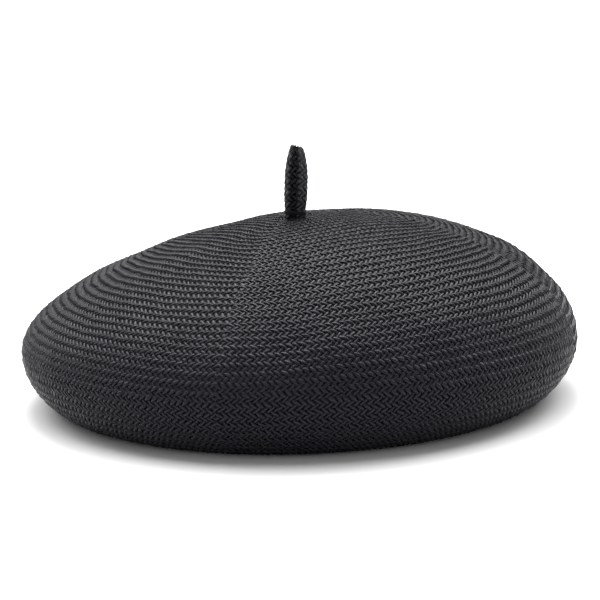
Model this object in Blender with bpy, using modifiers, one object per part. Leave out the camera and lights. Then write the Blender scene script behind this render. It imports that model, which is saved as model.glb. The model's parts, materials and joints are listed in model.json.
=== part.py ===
"""A blocked straw beret: a one-piece straw shell with a stalk, a wired and bound head edge, and a ribbon sweatband.

Metres, +Z up. The origin is on the floor under the middle of the hat, -Y is the wearer's front, and the ribbon
joins at the back, +Y. Every ring at the head opening follows one oval, and offsets from that oval are positive
towards the crown side and negative towards the head.
"""

from math import atan2, cos, pi, radians, sin, sqrt

import bmesh
import bpy
from mathutils import Euler, Vector
from mathutils.geometry import interpolate_bezier

# ---- driving dimensions ----------------------------------------------------------------------------------------
BERET_RADIUS = 0.140            # half the width over the widest line
WAIST_HEIGHT = 0.029            # height of the widest line above the floor
DOME_RISE = 0.061               # from the widest line to the tip
TIP_HANDLE = 0.072              # the blocked curve's handles: level at the tip,
CROWN_HANDLE = 0.031            # upright above the widest line,
UNDER_HANDLE = 0.0175           # upright below it,
LAND_HANDLE = 0.005             # and level where the underside meets the floor
SIDE_FULLNESS = 0.195           # how much taller the dome is blocked on +X, as a share of its rise
STRAW_THICKNESS = 0.0012
LAND_RADIUS = 0.118             # outer edge of the flat ring that the hat rests on
LAND_WIDTH = 0.006

HEAD_LENGTH = 0.197             # the head opening, front to back
HEAD_WIDTH = 0.166              # the head opening, side to side
FOLD_RADIUS = 0.003             # where the straw turns up into the collar
FOLD_HEIGHT = 0.002             # height of the opening's lower edge above the floor
COLLAR_HEIGHT = 0.009           # straight part of the turned-up collar

CLEARANCE = 0.0003              # gap between pieces that touch
WIRE_RADIUS = 0.00055
WIRE_BELOW_EDGE = 0.0016        # from the collar's raw edge down to the middle of the wire
WIRE_END_GAP = 0.0012           # between the wire's two ends, inside the joiner
WIRE_JOIN_ANGLE = radians(64)   # round the opening from +X
JOINER_LENGTH = 0.014
JOINER_WALL = 0.00025
BINDING_THICKNESS = 0.0005
BINDING_HEAD_DROP = 0.0062      # how far the tape reaches down on the head side
BINDING_CROWN_DROP = 0.0052     # how far it reaches down on the crown side
THREAD_RADIUS = 0.00025

RIBBON_THICKNESS = 0.0008
RIBBON_HEIGHT = 0.025
RIBBON_START = 0.0035           # height of the ribbon's lower edge
RIBBON_OVERLAP = 0.014          # length that is doubled at the back
RIBBON_STEP = 0.008             # length over which the inner end steps over the outer one
RIBBON_SEAM = 0.0022            # from the lower edge up to the row of stitches

BOW_LENGTH = 0.034
BOW_HEIGHT = 0.010
BOW_DEPTH = 0.0036
BOW_RIBBON = 0.0008             # thickness of the bow's ribbon
BOW_WRAP_WIDTH = 0.006
BOW_WRAP_CORNER = 0.0012
BOW_LEVEL = 0.56                # middle of the bow, as a share of the ribbon's height

LABEL_WIDTH = 0.012
LABEL_HEIGHT = 0.014
LABEL_THICKNESS = 0.0010        # the tape is folded double
LABEL_TOP = 0.0225              # height of the label's sewn edge
LABEL_ANGLE = radians(116)      # round the opening from +X
LABEL_SAG = 1.4                 # how much sharper the ribbon curves behind the label than a circle would
LABEL_TACK_RADIUS = 0.0004

STALK_HEIGHT = 0.0355
STALK_HALF_WIDTH = 0.0056
STALK_HALF_DEPTH = 0.0030
STALK_BASE_WIDTH = 0.86         # width at the sewn root, as a share of the widest part
STALK_BASE_DEPTH = 0.70         # depth at the pinched root, as a share of the full depth
STALK_TOP_WIDTH = 0.56          # width at the top, as a share of the widest part
STALK_FULL = (0.3, 0.6)         # heights between which the stalk is widest, as shares of its height
STALK_TOP_SLANT = 0.0014        # the raw top edge stands higher on the -X side
STALK_EDGES = (radians(-110), radians(165))   # where the rolled strip's two long edges lie, from its back
STALK_THICKNESS = 0.0008
STALK_LEAN = radians(3.5)       # towards +X
STALK_BEND = radians(35)        # how far the straw bends at its root, each way
WRAP_RADIUS = 0.0003            # of the thread wound round the root
WRAP_HEIGHT = 0.0006            # middle of the thread above the bending line
TACK_RADIUS = 0.0003
TACK_ARCH = 0.0008              # radius of the tack's loop
KNOT_RADIUS = 0.0020
KNOT_FLATNESS = 0.6

# ---- resolution ------------------------------------------------------------------------------------------------
SHELL_COLUMNS = 64
DOME_STEPS = 15
UNDER_STEPS = 8
FOLD_STEPS = 4
RING_POINTS = 72
BAND_COLUMNS = 80

# ---- worked out from the above ---------------------------------------------------------------------------------
MEAN_OPENING = (HEAD_LENGTH + HEAD_WIDTH) / 4
LAND_INNER = LAND_RADIUS - LAND_WIDTH
COLLAR_TOP = FOLD_HEIGHT + FOLD_RADIUS + COLLAR_HEIGHT
TIP_HEIGHT = WAIST_HEIGHT + DOME_RISE
JOINER_RADIUS = WIRE_RADIUS + CLEARANCE + JOINER_WALL
WIRE_OFFSET = STRAW_THICKNESS + CLEARANCE + JOINER_RADIUS
WIRE_HEIGHT = COLLAR_TOP - WIRE_BELOW_EDGE
BINDING_OUT = WIRE_OFFSET + JOINER_RADIUS + CLEARANCE
RIBBON_FACE = -(CLEARANCE + BINDING_THICKNESS + CLEARANCE)
RIBBON_INSIDE = RIBBON_FACE - RIBBON_THICKNESS
OVERLAP_SHIFT = RIBBON_THICKNESS + CLEARANCE
OVERLAP_INSIDE = RIBBON_INSIDE - OVERLAP_SHIFT
BACK = pi / 2

parts = bpy.data.collections.new("beret")


def start():
    for old in list(bpy.data.objects):
        bpy.data.objects.remove(old)
    bpy.context.scene.collection.children.link(parts)


def material(name, colour, roughness, metallic=0.0):
    made = bpy.data.materials.new(name)
    made.use_nodes = True
    shader = made.node_tree.nodes["Principled BSDF"]
    shader.inputs["Base Color"].default_value = (*colour, 1.0)
    shader.inputs["Roughness"].default_value = roughness
    shader.inputs["Metallic"].default_value = metallic
    return made


def add(name, data, finish):
    piece = bpy.data.objects.new(name, data)
    piece.data.materials.append(finish)
    parts.objects.link(piece)
    return piece


def baked(piece):
    """Swaps a piece for a plain mesh of how its modifiers or its curve shape it."""
    graph = bpy.context.evaluated_depsgraph_get()
    data = bpy.data.meshes.new_from_object(piece.evaluated_get(graph), depsgraph=graph)
    name = piece.name
    bpy.data.objects.remove(piece)
    made = bpy.data.objects.new(name, data)
    parts.objects.link(made)
    return made


def thicken(piece, thickness, offset=-1.0):
    wall = piece.modifiers.new("wall", "SOLIDIFY")
    wall.thickness = thickness
    wall.offset = offset
    wall.use_even_offset = True


def smooth(piece, angle=radians(40)):
    piece.data.shade_smooth()
    piece.data.set_sharp_from_angle(angle=angle)


# ---- shared shapes ---------------------------------------------------------------------------------------------
def oval_radius(angle):
    """Distance from the axis to the head opening's oval at an angle from +X."""
    across, along = HEAD_WIDTH / 2, HEAD_LENGTH / 2
    return across * along / sqrt((along * cos(angle)) ** 2 + (across * sin(angle)) ** 2)


def on_oval(angle, offset, height):
    reach = oval_radius(angle) + offset
    return Vector((reach * cos(angle), reach * sin(angle), height))


def near_angle(middle, run, offset, height):
    """A point a run along the oval from the angle in the middle, counted anticlockwise seen from above."""
    return on_oval(middle + run / (oval_radius(middle) + offset), offset, height)


def blocked_curve():
    """The outer face as (distance from the axis, height): over the dome to the widest line, then under to the land."""
    dome = interpolate_bezier(
        (0, TIP_HEIGHT), (TIP_HANDLE, TIP_HEIGHT),
        (BERET_RADIUS, WAIST_HEIGHT + CROWN_HANDLE), (BERET_RADIUS, WAIST_HEIGHT), DOME_STEPS + 1,
    )
    under = interpolate_bezier(
        (BERET_RADIUS, WAIST_HEIGHT), (BERET_RADIUS, WAIST_HEIGHT - UNDER_HANDLE),
        (LAND_RADIUS + LAND_HANDLE, 0), (LAND_RADIUS, 0), UNDER_STEPS + 1,
    )
    return [(point[0], point[1]) for point in dome + under[1:]]


def side_lift(x, height):
    """How much the fuller side raises a point of the dome."""
    return SIDE_FULLNESS * max(height - WAIST_HEIGHT, 0) * x / BERET_RADIUS


def crown_height(x):
    """Height of the shell's outer face above a point on the X axis near the tip."""
    curve = blocked_curve()
    for (inner, upper), (outer, lower) in zip(curve, curve[1:]):
        if inner <= abs(x) <= outer:
            height = upper + (lower - upper) * (abs(x) - inner) / (outer - inner)
            return height + side_lift(x, height)


def lathe(name, outline, closed, finish):
    """Turns (distance from the axis, height) points about Z."""
    data = bpy.data.meshes.new(name)
    count = len(outline)
    edges = [(i, (i + 1) % count) for i in range(count if closed else count - 1)]
    data.from_pydata([(x, 0, z) for x, z in outline], edges, [])
    turned = add(name, data, finish)
    screw = turned.modifiers.new("turn", "SCREW")
    screw.steps = SHELL_COLUMNS
    screw.render_steps = SHELL_COLUMNS
    screw.use_merge_vertices = True
    screw.merge_threshold = 0.00001
    return baked(turned)


def make_oval(piece, share_at):
    """Moves each point of a turned piece outwards so that its circle becomes the head's oval."""
    for vertex in piece.data.vertices:
        flat = vertex.co.xy
        share = share_at(flat.length, vertex.co.z)
        if share > 0:
            shift = share * (oval_radius(atan2(flat.y, flat.x)) - MEAN_OPENING)
            vertex.co.xy = flat * (1 + shift / flat.length)


def sheet(name, columns, rows, place, finish, closed=False):
    """A grid of faces whose point at (across, up), each from 0 to 1, lies at place(across, up)."""
    bm = bmesh.new()
    bmesh.ops.create_grid(bm, x_segments=columns, y_segments=rows, size=1)
    for vertex in bm.verts:
        vertex.co = place(vertex.co.x / 2 + 0.5, vertex.co.y / 2 + 0.5)
    if closed:
        bmesh.ops.remove_doubles(bm, verts=bm.verts, dist=0.00001)
    data = bpy.data.meshes.new(name)
    bm.to_mesh(data)
    bm.free()
    return add(name, data, finish)


def cord(name, points, radius, finish, closed=False, sides=2):
    """A thread or wire through the points."""
    data = bpy.data.curves.new(name, "CURVE")
    data.dimensions = "3D"
    data.bevel_depth = radius
    data.bevel_resolution = sides
    data.use_fill_caps = not closed
    spline = data.splines.new("POLY")
    spline.points.add(len(points) - 1)
    for knot, place in zip(spline.points, points):
        knot.co = (*place, 1)
    spline.use_cyclic_u = closed
    return add(name, data, finish)


def turns(count, first=0.0, last=2 * pi):
    """Angles at even steps, without the last one when they go all the way round."""
    whole = abs(last - first - 2 * pi) < 1e-9
    return [first + (last - first) * i / (count if whole else count - 1) for i in range(count)]


# ---- the straw shell -------------------------------------------------------------------------------------------
def shell_outline():
    """The outer face from the tip over the rim, under it to the head opening, and up the collar."""
    outline = blocked_curve()
    outline.append((LAND_INNER, 0))
    centre = MEAN_OPENING + FOLD_RADIUS
    for step in range(FOLD_STEPS + 1):
        turn = step / FOLD_STEPS * pi / 2
        outline.append((centre - FOLD_RADIUS * sin(turn), FOLD_HEIGHT + FOLD_RADIUS * (1 - cos(turn))))
    outline.append((MEAN_OPENING, COLLAR_TOP))
    return outline


def opening_share(reach, height):
    """How far a point of the shell follows the head's oval: all at the collar, nothing from the land outwards."""
    fold_start = MEAN_OPENING + FOLD_RADIUS
    if height > COLLAR_TOP + FOLD_RADIUS or reach >= LAND_INNER:
        return 0
    return min((LAND_INNER - reach) / (LAND_INNER - fold_start), 1)


def make_shell(straw):
    shell = lathe("straw_shell", shell_outline(), False, straw)
    make_oval(shell, opening_share)
    for vertex in shell.data.vertices:
        vertex.co.z += side_lift(vertex.co.x, vertex.co.z)
    thicken(shell, STRAW_THICKNESS)
    smooth(shell)


# ---- the stalk and its stitches --------------------------------------------------------------------------------
def root_height():
    """Height of the line the stalk bends about: its pinched root clears the shell at both limits."""
    half_depth = STALK_HALF_DEPTH * STALK_BASE_DEPTH + CLEARANCE + 2 * WRAP_RADIUS
    return TIP_HEIGHT + half_depth * sin(STALK_BEND) + side_lift(STALK_HALF_WIDTH, TIP_HEIGHT) + 2 * CLEARANCE


def stalk_scale(up):
    """Width and depth of the rolled strip at a height, as shares of its widest part."""
    full_from, full_to = STALK_FULL
    if up < full_from:
        ease = sin(up / full_from * pi / 2)
        return STALK_BASE_WIDTH + (1 - STALK_BASE_WIDTH) * ease, STALK_BASE_DEPTH + (1 - STALK_BASE_DEPTH) * ease
    if up < full_to:
        return 1.0, 1.0
    taper = (up - full_to) / (1 - full_to)
    width = 1 - (1 - STALK_TOP_WIDTH) * taper ** 2
    return width, width


def stalk_point(across, up):
    width, depth = stalk_scale(up)
    turn = STALK_EDGES[1] + (STALK_EDGES[0] - STALK_EDGES[1]) * across
    x = STALK_HALF_WIDTH * width * sin(turn)
    y = STALK_HALF_DEPTH * depth * cos(turn)
    slant = STALK_TOP_SLANT * (0.5 - x / STALK_HALF_WIDTH) * up ** 3
    return Vector((x, y, (STALK_HEIGHT - STALK_TOP_SLANT) * up + slant))


def make_stalk(straw, thread):
    root = Vector((0, 0, root_height()))
    stalk = sheet("stalk", 18, 12, stalk_point, straw)
    thicken(stalk, STALK_THICKNESS)
    smooth(stalk, radians(60))
    stalk.location = root
    stalk.rotation_euler = Euler((0, STALK_LEAN, 0))

    width, depth = stalk_scale(WRAP_HEIGHT / STALK_HEIGHT)
    reach = CLEARANCE + WRAP_RADIUS
    wide, deep = STALK_HALF_WIDTH * width + reach, STALK_HALF_DEPTH * depth + reach
    loop = [Vector((wide * cos(a), deep * sin(a), WRAP_HEIGHT)) for a in turns(28)]
    wrap = cord("stalk_wrap_thread", loop, WRAP_RADIUS, thread, closed=True, sides=1)
    wrap.parent = stalk

    for name, side in (("stalk_tack_left", -1), ("stalk_tack_right", 1)):
        middle = side * (wide + WRAP_RADIUS + CLEARANCE + TACK_RADIUS + TACK_ARCH)
        base = crown_height(middle + TACK_ARCH) + CLEARANCE + TACK_RADIUS
        arch = [Vector((middle + TACK_ARCH * cos(a), 0, base + TACK_ARCH * sin(a))) for a in turns(9, 0, pi)]
        cord(name, arch, TACK_RADIUS, thread)

    bm = bmesh.new()
    bmesh.ops.create_uvsphere(bm, u_segments=14, v_segments=8, radius=KNOT_RADIUS)
    bmesh.ops.scale(bm, vec=(1, 1, KNOT_FLATNESS), verts=bm.verts)
    data = bpy.data.meshes.new("tack_knot")
    bm.to_mesh(data)
    bm.free()
    knot = add("tack_knot", data, thread)
    under = TIP_HEIGHT - STRAW_THICKNESS - 2 * CLEARANCE - side_lift(KNOT_RADIUS, TIP_HEIGHT)
    knot.location = (0, 0, under - KNOT_RADIUS * KNOT_FLATNESS)
    smooth(knot)


# ---- the wired and bound edge ----------------------------------------------------------------------------------
def make_edge(wire_metal, joiner_metal, tape, thread):
    gap = (WIRE_END_GAP / 2) / (oval_radius(WIRE_JOIN_ANGLE) + WIRE_OFFSET)
    first, last = WIRE_JOIN_ANGLE + gap, WIRE_JOIN_ANGLE + 2 * pi - gap
    path = [on_oval(a, WIRE_OFFSET, WIRE_HEIGHT) for a in turns(RING_POINTS, first, last)]
    cord("head_wire", path, WIRE_RADIUS, wire_metal)

    def on_joiner(along, round_it):
        turn = 2 * pi * round_it
        offset = WIRE_OFFSET + JOINER_RADIUS * cos(turn)
        height = WIRE_HEIGHT + JOINER_RADIUS * sin(turn)
        return near_angle(WIRE_JOIN_ANGLE, JOINER_LENGTH * (along - 0.5), offset, height)

    joiner = sheet("wire_joiner", 6, 12, on_joiner, joiner_metal, closed=True)
    thicken(joiner, JOINER_WALL)
    smooth(joiner, radians(60))

    inner, outer = -CLEARANCE, BINDING_OUT
    top = COLLAR_TOP + CLEARANCE
    wall = BINDING_THICKNESS
    round_off = wall / 2
    outline = [
        (inner - wall, top - BINDING_HEAD_DROP), (inner - wall, top + wall - round_off),
        (inner - wall + round_off, top + wall), (outer + wall - round_off, top + wall),
        (outer + wall, top + wall - round_off), (outer + wall, top - BINDING_CROWN_DROP),
        (outer, top - BINDING_CROWN_DROP), (outer, top), (inner, top), (inner, top - BINDING_HEAD_DROP),
    ]
    outline = [(MEAN_OPENING + x, z) for x, z in outline]
    binding = lathe("edge_binding", outline, True, tape)
    make_oval(binding, lambda reach, height: 1)
    smooth(binding)

    out = BINDING_OUT + BINDING_THICKNESS + CLEARANCE + THREAD_RADIUS
    seam = [on_oval(a, out, top - BINDING_CROWN_DROP + 2 * THREAD_RADIUS) for a in turns(RING_POINTS)]
    cord("binding_thread", seam, THREAD_RADIUS, thread, closed=True, sides=1)


# ---- the ribbon sweatband, its bow and its label ---------------------------------------------------------------
def overlap_shift(run):
    """How far the ribbon has stepped towards the head, a run along it from the start of its inner end's step."""
    ease = min(max(run / RIBBON_STEP, 0), 1)
    return OVERLAP_SHIFT * (0.5 - 0.5 * cos(pi * ease))


def make_ribbon(petersham, thread):
    back_reach = oval_radius(BACK)
    half = RIBBON_OVERLAP / 2 / back_reach
    first, last = BACK - half, BACK + 2 * pi + half
    step_at = BACK + 2 * pi - half - RIBBON_STEP / back_reach

    def on_ribbon(along, up):
        angle = first + (last - first) * along
        offset = RIBBON_FACE - overlap_shift((angle - step_at) * back_reach)
        return on_oval(angle, offset, RIBBON_START + RIBBON_HEIGHT * up)

    ribbon = sheet("head_ribbon", BAND_COLUMNS, 1, on_ribbon, petersham)
    thicken(ribbon, RIBBON_THICKNESS)
    smooth(ribbon)

    def on_seam(angle):
        back = abs(angle - BACK) * back_reach - RIBBON_OVERLAP / 2
        shift = overlap_shift(RIBBON_STEP - back)
        offset = RIBBON_INSIDE - shift - CLEARANCE - 2 * THREAD_RADIUS
        return on_oval(angle, offset, RIBBON_START + RIBBON_SEAM)

    seam = [on_seam(a) for a in turns(2 * RING_POINTS, BACK - pi, BACK + pi)]
    cord("ribbon_thread", seam, THREAD_RADIUS, thread, closed=True, sides=1)


def band_loop(half_length, half_depth, corner_steps, straight_steps):
    """Points round a flat loop with round ends, anticlockwise."""
    straight = half_length - half_depth
    loop = []
    for side in (1, -1):
        for step in range(corner_steps):
            turn = pi * step / corner_steps - side * pi / 2
            loop.append((side * straight + half_depth * cos(turn), half_depth * sin(turn)))
        for step in range(straight_steps):
            loop.append((side * straight * (1 - 2 * step / straight_steps), side * half_depth))
    return loop


def bow_height():
    return RIBBON_START + RIBBON_HEIGHT * BOW_LEVEL


def make_bow(satin):
    stack = CLEARANCE + BOW_RIBBON + CLEARANCE + BOW_DEPTH / 2
    middle = OVERLAP_INSIDE - stack - CLEARANCE
    loop = band_loop(BOW_LENGTH / 2, BOW_DEPTH / 2, 6, 6)
    ring = len(loop)

    def on_bow(along, up):
        run, depth = loop[round(along * ring) % ring]
        return near_angle(BACK, -run, middle + depth, bow_height() + BOW_HEIGHT * (up - 0.5))

    loops = sheet("bow_loops", ring, 1, on_bow, satin, closed=True)
    thicken(loops, BOW_RIBBON)
    smooth(loops, radians(50))

    half_height = BOW_HEIGHT / 2 + CLEARANCE + BOW_RIBBON
    half_depth = BOW_DEPTH / 2 + CLEARANCE + BOW_RIBBON
    corner = BOW_WRAP_CORNER
    wrap_loop = []
    for z, d, begin in ((1, -1, -pi / 2), (1, 1, 0), (-1, 1, pi / 2), (-1, -1, pi)):
        for turn in (0, pi / 4, pi / 2):
            wrap_loop.append((
                z * (half_height - corner) + corner * cos(begin + turn),
                d * (half_depth - corner) + corner * sin(begin + turn),
            ))
    count = len(wrap_loop)

    def on_wrap(along, across):
        height, depth = wrap_loop[round(along * count) % count]
        return near_angle(BACK, BOW_WRAP_WIDTH * (across - 0.5), middle + depth, bow_height() + height)

    wrap = sheet("bow_wrap", count, 1, on_wrap, satin, closed=True)
    thicken(wrap, BOW_RIBBON)
    smooth(wrap, radians(50))


def make_label(satin, thread):
    sag = LABEL_WIDTH ** 2 / (8 * MEAN_OPENING) * LABEL_SAG
    offset = RIBBON_INSIDE - sag - 2 * CLEARANCE - LABEL_THICKNESS / 2
    hinge = on_oval(LABEL_ANGLE, offset, LABEL_TOP)
    label = sheet(
        "size_label", 4, 5,
        lambda across, up: Vector((LABEL_WIDTH * (across - 0.5), 0, LABEL_HEIGHT * (up - 1))),
        satin,
    )
    thicken(label, LABEL_THICKNESS, 0.0)
    label.location = hinge
    half = LABEL_WIDTH / 2
    tangent = near_angle(LABEL_ANGLE, half, offset, 0) - near_angle(LABEL_ANGLE, -half, offset, 0)
    tangent.normalize()
    label.rotation_euler = Euler((0, 0, atan2(tangent.y, tangent.x)))

    above = Vector((0, 0, CLEARANCE + LABEL_THICKNESS / 2 + LABEL_TACK_RADIUS))
    ends = [hinge + above + tangent * LABEL_WIDTH * (i / 6 - 0.5) for i in range(7)]
    cord("label_tack", ends, LABEL_TACK_RADIUS, thread)


def main():
    start()
    straw = material("charcoal_straw", (0.045, 0.045, 0.052), 0.48)
    thread = material("black_thread", (0.02, 0.02, 0.022), 0.6)
    metal = material("steel_wire", (0.45, 0.45, 0.46), 0.35, 1.0)
    brass = material("brass_joiner", (0.62, 0.46, 0.2), 0.35, 1.0)
    tape = material("cotton_binding", (0.025, 0.025, 0.028), 0.85)
    petersham = material("petersham", (0.022, 0.022, 0.026), 0.7)
    label = material("label_satin", (0.75, 0.74, 0.7), 0.55)
    make_shell(straw)
    make_stalk(straw, thread)
    make_edge(metal, brass, tape, thread)
    make_ribbon(petersham, thread)
    make_bow(petersham)
    make_label(label, thread)


main()
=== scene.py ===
"""A blocked straw beret on a pale floor: plaited straw over the shell and the stalk, and sewn trimmings inside.

Metres, +Z up. The origin is on the floor under the middle of the hat, -Y is the wearer's front.
"""

import json
from math import cos, pi, radians, sin

import bmesh
import bpy
import numpy as np
from bpy.props import FloatProperty, FloatVectorProperty, IntProperty, PointerProperty
from mathutils import Matrix, Vector
from mathutils.geometry import interpolate_bezier


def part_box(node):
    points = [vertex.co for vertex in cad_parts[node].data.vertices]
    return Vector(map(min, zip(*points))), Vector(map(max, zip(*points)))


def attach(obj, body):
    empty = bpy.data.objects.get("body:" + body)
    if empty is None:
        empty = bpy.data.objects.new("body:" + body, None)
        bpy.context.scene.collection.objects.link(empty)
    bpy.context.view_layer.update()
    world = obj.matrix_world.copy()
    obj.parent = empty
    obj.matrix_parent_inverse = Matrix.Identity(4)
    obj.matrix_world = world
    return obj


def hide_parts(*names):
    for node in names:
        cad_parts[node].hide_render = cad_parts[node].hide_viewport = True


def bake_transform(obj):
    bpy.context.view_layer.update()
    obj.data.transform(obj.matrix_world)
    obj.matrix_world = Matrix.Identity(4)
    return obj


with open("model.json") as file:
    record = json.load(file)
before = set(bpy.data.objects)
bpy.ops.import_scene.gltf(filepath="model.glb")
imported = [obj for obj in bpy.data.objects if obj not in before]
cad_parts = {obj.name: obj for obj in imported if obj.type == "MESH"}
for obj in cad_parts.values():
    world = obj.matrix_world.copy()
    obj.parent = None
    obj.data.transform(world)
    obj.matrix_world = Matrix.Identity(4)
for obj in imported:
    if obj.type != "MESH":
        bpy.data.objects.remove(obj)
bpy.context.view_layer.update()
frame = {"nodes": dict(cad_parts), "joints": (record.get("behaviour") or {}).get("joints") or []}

bl_info = {
    "name": "Straw beret",
    "version": (1, 0, 0),
    "blender": (4, 5, 0),
    "location": "3D View > Sidebar > Beret",
    "description": "Plaits a straw beret with its stalk, wired edge, ribbon, bow and label",
    "category": "Object",
}

TUCKED = 1.1  # crossings that a strand goes on for under the next quarter of the plait


# ---- sizes and colours ----------------------------------
def length(name, about, default):
    return FloatProperty(name=name, description=about, default=default, unit="LENGTH", precision=5)


def angle(name, about, default):
    return FloatProperty(name=name, description=about, default=radians(default), unit="ROTATION")


def share(name, about, default):
    return FloatProperty(name=name, description=about, default=default)


def colour(name, about, default):
    return FloatVectorProperty(name=name, description=about, default=default, subtype="COLOR", size=3, min=0, max=1)


class BeretShape(bpy.types.PropertyGroup):
    """The blocked form that the straw follows"""

    radius: length("Radius", "Half the width over the widest line", 0.140)
    waist: length("Waist height", "Height of the widest line", 0.029)
    rise: length("Dome rise", "From the widest line to the tip", 0.061)
    tip_handle: length("Tip handle", "Level handle of the blocked curve", 0.072)
    crown_handle: length("Crown handle", "Upright handle above the widest line", 0.031)
    under_handle: length("Under handle", "Upright handle below the widest line", 0.0175)
    land_handle: length("Land handle", "Level handle where the underside meets the floor", 0.005)
    land_outer: length("Land radius", "Outer edge of the ring that the hat rests on", 0.118)
    land_inner: length("Land inner radius", "Inner edge of that ring", 0.112)
    fullness: share("Side fullness", "How much taller the dome is on +X", 0.195)
    head_length: length("Head length", "The head opening, front to back", 0.197)
    head_width: length("Head width", "The head opening, side to side", 0.166)
    fold_radius: length("Fold radius", "Where the straw turns up into the collar", 0.003)
    fold_height: length("Fold height", "Lower edge of the opening", 0.002)
    collar_top: length("Collar top", "Raw edge of the straw", 0.014)
    thickness: length("Thickness", "Thickness of the plaited straw", 0.0012)


class PlaitSizes(bpy.types.PropertyGroup):
    """The two-over, two-under plait"""

    cell: length("Cell", "Spacing of the strands along a row at the rim", 0.0032)
    row: length("Row", "Spacing of the crossings across the rows at the start", 0.000935)
    row_growth: share("Row growth", "How much wider the rows grow outwards, per metre", 0.702)
    cell_tightness: share("Cell tightness", "How much closer the strands lie at the start", 0.12)
    cover: share("Cover", "Strand width as a share of the room between strands", 1.06)
    strand_thickness: length("Strand thickness", "Thickness of one strand", 0.00056)
    lift: length("Lift", "How far a strand rises and sinks as it crosses the others", 0.00036)
    row_relief: length("Row relief", "How far every second row of floats stands proud", 0.00020)
    unevenness: share("Unevenness", "How much single floats differ in height", 0.8)
    uneven_width: share("Uneven width", "How much strands differ in width", 0.16)
    flatness: share("Flatness", "0 for round strands, towards 1 for flat ones with square edges", 0.5)
    wander: length("Wander", "How far strands stray from their even places", 0.00030)
    hollows: length("Hollows", "Depth of the soft hollows that hand blocking leaves in the crown", 0.00045)
    sides: IntProperty(name="Sides", description="Faces round a strand", default=4, min=3, max=8)
    corner_square: length("Square centre", "Distance over which the rows run square round the start", 0.0297)
    corner_round: length("Round from", "Distance from which the rows run nearly round", 0.111)
    corner_left: share("Corner share", "How square the outer rows stay", 0.073)
    corner_bend: angle("Corner bend", "How far from a corner line the rows begin to bend round it", 9)
    start_x: length("Start X", "Where the plait starts, from the tip", 0.0018)
    start_y: length("Start Y", "Where the plait starts, from the tip", 0.0257)
    settled: length("Settled", "Distance from the tip at which the rows lie even round it", 0.1256)
    turn: angle("Turn", "Direction of the first corner line", 344.0)


class TrimSizes(bpy.types.PropertyGroup):
    """The stalk and the pieces sewn inside the head opening"""

    stalk_height: length("Stalk height", "From its root to its top", 0.0355)
    stalk_half_width: length("Stalk half width", "Half the widest part of the stalk", 0.0056)
    stalk_half_depth: length("Stalk half depth", "Half the depth of the rolled strip", 0.0030)
    stalk_root: length("Stalk root", "Height of the line that the stalk bends about", 0.092797)
    stalk_lean: angle("Stalk lean", "Towards +X", 3.5)
    stalk_cell: length("Stalk cell", "Spacing of the stalk's strands along a row", 0.0026)
    stalk_row: length("Stalk row", "Spacing of the crossings up the stalk", 0.00155)
    binding_top: length("Binding top", "Inside of the tape's fold", 0.0143)
    binding_out: length("Binding reach", "From the oval to the tape's crown side", 0.0040)
    tape: length("Tape thickness", "Bias tape of the binding", 0.0005)
    ribbon_start: length("Ribbon lower edge", "Height of the ribbon's lower edge", 0.0035)
    ribbon_height: length("Ribbon height", "Width of the ribbon", 0.025)
    ribbon_face: length("Ribbon face", "From the oval to the ribbon's outer side", -0.0011)
    ribbon_thickness: length("Ribbon thickness", "Grosgrain with its ribs", 0.0008)
    ribbon_overlap: length("Ribbon overlap", "Doubled length at the back", 0.014)
    ribbon_step: length("Ribbon step", "Length over which the inner end steps over the outer one", 0.008)
    rib: length("Rib", "Spacing of the ribbon's ribs", 0.0011)
    bow_length: length("Bow length", "End to end", 0.034)
    bow_height: length("Bow height", "Width of the bow's ribbon", 0.010)
    bow_depth: length("Bow depth", "Front to back", 0.0036)
    bow_middle: length("Bow level", "Height of the bow's middle", 0.0175)
    wrap_width: length("Wrap width", "The band round the bow's middle", 0.006)
    label_width: length("Label width", "Blank folded label", 0.012)
    label_height: length("Label height", "Blank folded label", 0.014)
    label_top: length("Label top", "Height of its sewn edge", 0.0225)
    label_angle: angle("Label angle", "Round the opening from +X", 116)
    thread: length("Thread radius", "Sewing thread", 0.00025)
    stitch: length("Stitch", "From one stitch to the next", 0.0034)


class BeretColours(bpy.types.PropertyGroup):
    """Colours of the finishes"""

    straw: colour("Straw", "Dyed straw", (0.0085, 0.0088, 0.0118))
    # The stalk is the shell's dyed straw; its tint is painted about three times lighter as painted light for the
    # light the stalk catches.
    stalk: colour("Stalk", "Dyed straw of the stalk", (0.024, 0.025, 0.029))
    thread: colour("Thread", "Sewing thread", (0.006, 0.006, 0.007))
    tape: colour("Tape", "Cotton bias tape", (0.020, 0.020, 0.022))
    ribbon: colour("Ribbon", "Grosgrain ribbon", (0.016, 0.016, 0.019))
    label: colour("Label", "Woven satin", (0.62, 0.60, 0.55))
    wire: colour("Wire", "Thread-covered wire", (0.045, 0.045, 0.048))
    joiner: colour("Joiner", "Brass", (0.72, 0.50, 0.20))


class StageSizes(bpy.types.PropertyGroup):
    """Camera"""

    distance: length("Distance", "From the camera to the point it looks at", 1.100)
    elevation: angle("Elevation", "Camera above the floor", 11.4)
    roll: angle("Roll", "Camera turned about its own line of sight", 1.83)
    lens: FloatProperty(name="Lens", description="Focal length in millimetres", default=130.5)
    aim: length("Aim height", "Height that the camera looks at", 0.0479)


# ---- the blocked form -----------------------------------
def oval_radius(shape, azimuth):
    across, along = shape.head_width / 2, shape.head_length / 2
    return across * along / np.sqrt((along * np.cos(azimuth)) ** 2 + (across * np.sin(azimuth)) ** 2)


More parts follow.
